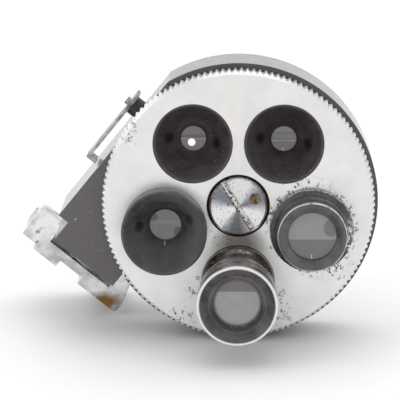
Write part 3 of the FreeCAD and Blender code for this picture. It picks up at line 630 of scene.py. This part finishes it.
# %% centre screw and lock screw
fans, shader = finish("turned_steel", (0.6, 0.6, 0.6), 1.0, 0.28, Anisotropic=0.85,
                      Anisotropic_Rotation=0.25)
streaked(fans, shader)
x, _, z = parts(fans, place_of(fans, AXIS, (1 / MM, 0, 1 / MM)))
SLOT = math.radians(18.4) + ROLL
across = calc(fans, "ADD", calc(fans, "MULTIPLY", x, math.sin(SLOT)),
              calc(fans, "MULTIPLY", z, math.cos(SLOT)))
side = calc(fans, "ABSOLUTE", across)
burr = calc(fans, "MULTIPLY", spread(fans, side, 0.66, 0.56), spread(fans, side, 0.38, 0.47))
in_slot = spread(fans, side, 0.52, 0.42)
rust = noise(fans, place_of(fans), 1500.0, 5.0, 0.38, 0.62)
pits = noise(fans, place_of(fans), 2300.0, 3.0, 0.62, 0.68)
rim = spread(fans, radial(fans, AXIS), 5.1, 5.75)
flecks = noise(fans, place_of(fans), 2600.0, 4.0, 0.52, 0.60)
dirt = most(fans, calc(fans, "MULTIPLY", in_slot, flecks), pits, calc(fans, "MULTIPLY", burr, rust),
            calc(fans, "MULTIPLY", rim, rust))
# Painted highlight and shade: bright and dark fans round the screw's centre, by angle.
angle = calc(fans, "ARCTAN2", z, x)
painted_sheen_fans = calc(fans, "COSINE", calc(fans, "ADD", calc(fans, "MULTIPLY", angle, 3.0), 1.83))
painted_sheen_face = mix(fans, spread(fans, painted_sheen_fans, -0.9, 0.5), (0.2, 0.205, 0.23), (0.74, 0.74, 0.75))
painted_sheen_face = mix(fans, in_slot, painted_sheen_face, (0.72, 0.7, 0.66))
wire(fans, mix(fans, dirt, painted_sheen_face, (0.16, 0.12, 0.09)), shader.inputs["Base Color"])
wire(fans, spread(fans, dirt, 0, 1, 0.24, 0.75), shader.inputs["Roughness"])
grooves = calc(fans, "MULTIPLY", turning_lines(fans, 0.2), 0.2)
bump(fans, shader, calc(fans, "SUBTRACT", grooves, dirt), 0.4, 0.00004)
paint("centre_screw", fans)


def bare_metal(name, colour, stain, roughness, scale=700.0):
    """A plain metal with stains that are darker and rougher."""
    material, shader = finish(name, colour, 1.0, roughness)
    cloud = noise(material, place_of(material), scale, 5.0, 0.4, 0.68)
    scratch = noise(material, place_of(material, scale=(1, 1, 14)), 900.0, 3.0, 0.35, 0.65)
    wire(material, mix(material, cloud, colour, stain), shader.inputs["Base Color"])
    wire(material, spread(material, cloud, 0, 1, roughness, roughness + 0.25),
         shader.inputs["Roughness"])
    bump(material, shader, scratch, 0.25, 0.00002)
    return material


steel = bare_metal("steel", (0.6, 0.6, 0.6), (0.3, 0.28, 0.26), 0.3)
brass = bare_metal("brass", (0.62, 0.45, 0.25), (0.2, 0.13, 0.08), 0.35, 1500.0)
paint("lock_screw", bare_metal("lock_brass", (0.3, 0.22, 0.16), (0.09, 0.055, 0.035), 0.45, 1800.0))
for name in ("axle_nut", "turret_bush"):
    paint(name, brass)
for name in ("turret_axle", "thrust_washer", "detent_ball", "detent_sleeve", "detent_spring",
             "cover_screws", "lid_screws", "foot_screws", "lever_screw", "pivot_pin",
             "prism_cage", "prism_clip"):
    paint(name, steel)
print("screws and steel painted")

# %% [markdown]
# The housing is cast metal under glossy black enamel, which mirrors the tent as grey along
# the drum. Its bare corner beside the disc carries a matt black plate with tiny chips.

# %% enamels
gloss, shader = finish("gloss_black_enamel", (0.025, 0.025, 0.028), 0.0, 0.34,
                       Coat_Weight=0.85, Coat_Roughness=0.16)
orange = noise(gloss, place_of(gloss), 420.0, 2.0, 0.3, 0.7)
chips = noise(gloss, place_of(gloss), 1900.0, 4.0, 0.71, 0.76)
wire(gloss, mix(gloss, chips, mix(gloss, orange, (0.022, 0.022, 0.026), (0.035, 0.034, 0.038)),
                (0.3, 0.29, 0.27)), shader.inputs["Base Color"])
wire(gloss, spread(gloss, orange, 0, 1, 0.26, 0.38), shader.inputs["Roughness"])
bump(gloss, shader, orange, 0.12, 0.00003)
for name in ("main_housing", "prism_cover", "back_lid"):
    paint(name, gloss)

matt, shader = finish("matt_black_enamel", (0.12, 0.11, 0.115), 0.0, 0.6)
grain = noise(matt, place_of(matt), 2400.0, 3.0, 0.3, 0.7)
chips = noise(matt, place_of(matt), 1500.0, 2.0, 0.73, 0.76)
wire(matt, mix(matt, chips, mix(matt, grain, (0.10, 0.092, 0.097), (0.128, 0.118, 0.122)),
               (0.7, 0.7, 0.68)), shader.inputs["Base Color"])
wire(matt, spread(matt, grain, 0, 1, 0.5, 0.7), shader.inputs["Roughness"])
bump(matt, shader, grain, 0.3, 0.00003)
paint("front_plate", matt)
print("enamels painted")

# %% [markdown]
# The tilting cradle and the foot are cast, filed by hand and nickelled. The plating is
# clouded and dark where moisture sat, and rubbed through to brass at the foot's outer corner,
# which scrapes along the shoe of every camera.

# %% nickel
foot_low, foot_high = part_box("shoe_foot")
nickel, shader = finish("worn_nickel", (0.7, 0.71, 0.7), 1.0, 0.3)
cloud = noise(nickel, place_of(nickel), 240.0, 5.0, 0.40, 0.66)
soot = noise(nickel, place_of(nickel), 420.0, 5.0, 0.60, 0.72)
colour = mix(nickel, cloud, (0.78, 0.79, 0.78), (0.45, 0.46, 0.46))
colour = mix(nickel, soot, colour, (0.12, 0.11, 0.11))
corner = ((foot_high.x * 0.92 + foot_low.x * 0.08), 0, foot_low.z + 2.2 * MM)
rubbed = calc(nickel, "MULTIPLY", patch(nickel, corner, -2.4, -0.2, 3.6, 1.7, 0.45),
              noise(nickel, place_of(nickel), 420.0, 4.0, 0.30, 0.46))
colour = mix(nickel, rubbed, colour, (0.26, 0.14, 0.055))
wire(nickel, colour, shader.inputs["Base Color"])
wire(nickel, spread(nickel, most(nickel, cloud, soot), 0, 1, 0.22, 0.5), shader.inputs["Roughness"])
bump(nickel, shader, noise(nickel, place_of(nickel), 520.0, 3.0, 0.3, 0.7), 0.5, 0.0001)
for name in ("cradle", "shoe_foot"):
    paint(name, nickel)
    edges = NODES[name].modifiers.new("filed_edges", "BEVEL")
    edges.width, edges.segments = 0.35 * MM, 3
    edges.limit_method, edges.angle_limit = "ANGLE", math.radians(40)
print("foot box in mm", [round(c / MM, 1) for c in foot_low], [round(c / MM, 1) for c in foot_high])

# %% [markdown]
# The parallax lever is a strip of spring steel, bright on its face and dirty at its ends.

# %% lever
paint("parallax_lever", bare_metal("lever_steel", (0.5, 0.5, 0.5), (0.16, 0.155, 0.15), 0.34, 420.0))
print("lever painted")

# %% [markdown]
# The eyepiece isn't seen from the front. Its tube is plain black, and its focus ring has a
# straight knurl, here a radius that ripples with a sine of the angle.

# %% eyepiece ring
where = middle("eyepiece_ring")
ring_front = front("eyepiece_ring")
inner, outer = half("eyepiece_tube") + 0.02, half("eyepiece_ring")
outline = softened([(inner, ring_front), (outer, ring_front), (outer, ring_front + 2.7),
                    (inner, ring_front + 2.7)], 0.25, 5)
points, faces = lathe(outline, where, 480)
arm = points - where
distance = np.hypot(arm[:, 0], arm[:, 2]) / MM
ripple = 0.16 * (1 - np.cos(60 * np.arctan2(arm[:, 2], arm[:, 0]))) / 2
share = np.clip((distance - inner - 0.3) / 0.4, 0, 1)
shrink = 1 - share * ripple / distance
points[:, 0] = where[0] + arm[:, 0] * shrink
points[:, 2] = where[2] + arm[:, 2] * shrink
piece("eyepiece_ring_knurled", (points, faces),
      blacked("eyepiece_ring_black", (0.03, 0.028, 0.03), (0.07, 0.066, 0.07), 0.35, where),
      "eyepiece_dial", "black_anodised", "eyepiece_ring")
print("eyepiece ring radius", round(outer, 2))

# %% [markdown]
# Inside, the prisms and small lenses are plain polished glass with a trace of coating, and
# hardly show; they keep their CAD shapes.

# %% inner glass
clear, shader = finish("prism_glass", (0.92, 0.95, 0.95), 0.0, 0.03, Transmission_Weight=0.9)
haze = noise(clear, place_of(clear), 300.0, 3.0, 0.3, 0.8)
wire(clear, mix(clear, haze, (0.93, 0.96, 0.96), (0.86, 0.9, 0.92)), shader.inputs["Base Color"])
wire(clear, spread(clear, haze, 0, 1, 0.02, 0.06), shader.inputs["Roughness"])
for name in ("upper_prism", "lower_prism", "erecting_lens", "eye_lens"):
    paint(name, clear)
print("glass painted")

# %% [markdown]
# The table is matt white paper.

# %% table
paper, shader = finish("table", (0.93, 0.93, 0.93), 0.0, 0.6)
fibre = noise(paper, place_of(paper), 60.0, 4.0, 0.3, 0.7)
wire(paper, mix(paper, fibre, (0.93, 0.93, 0.93), (0.945, 0.945, 0.945)),
     shader.inputs["Base Color"])
floor.data.materials.append(paper)
print("table painted")
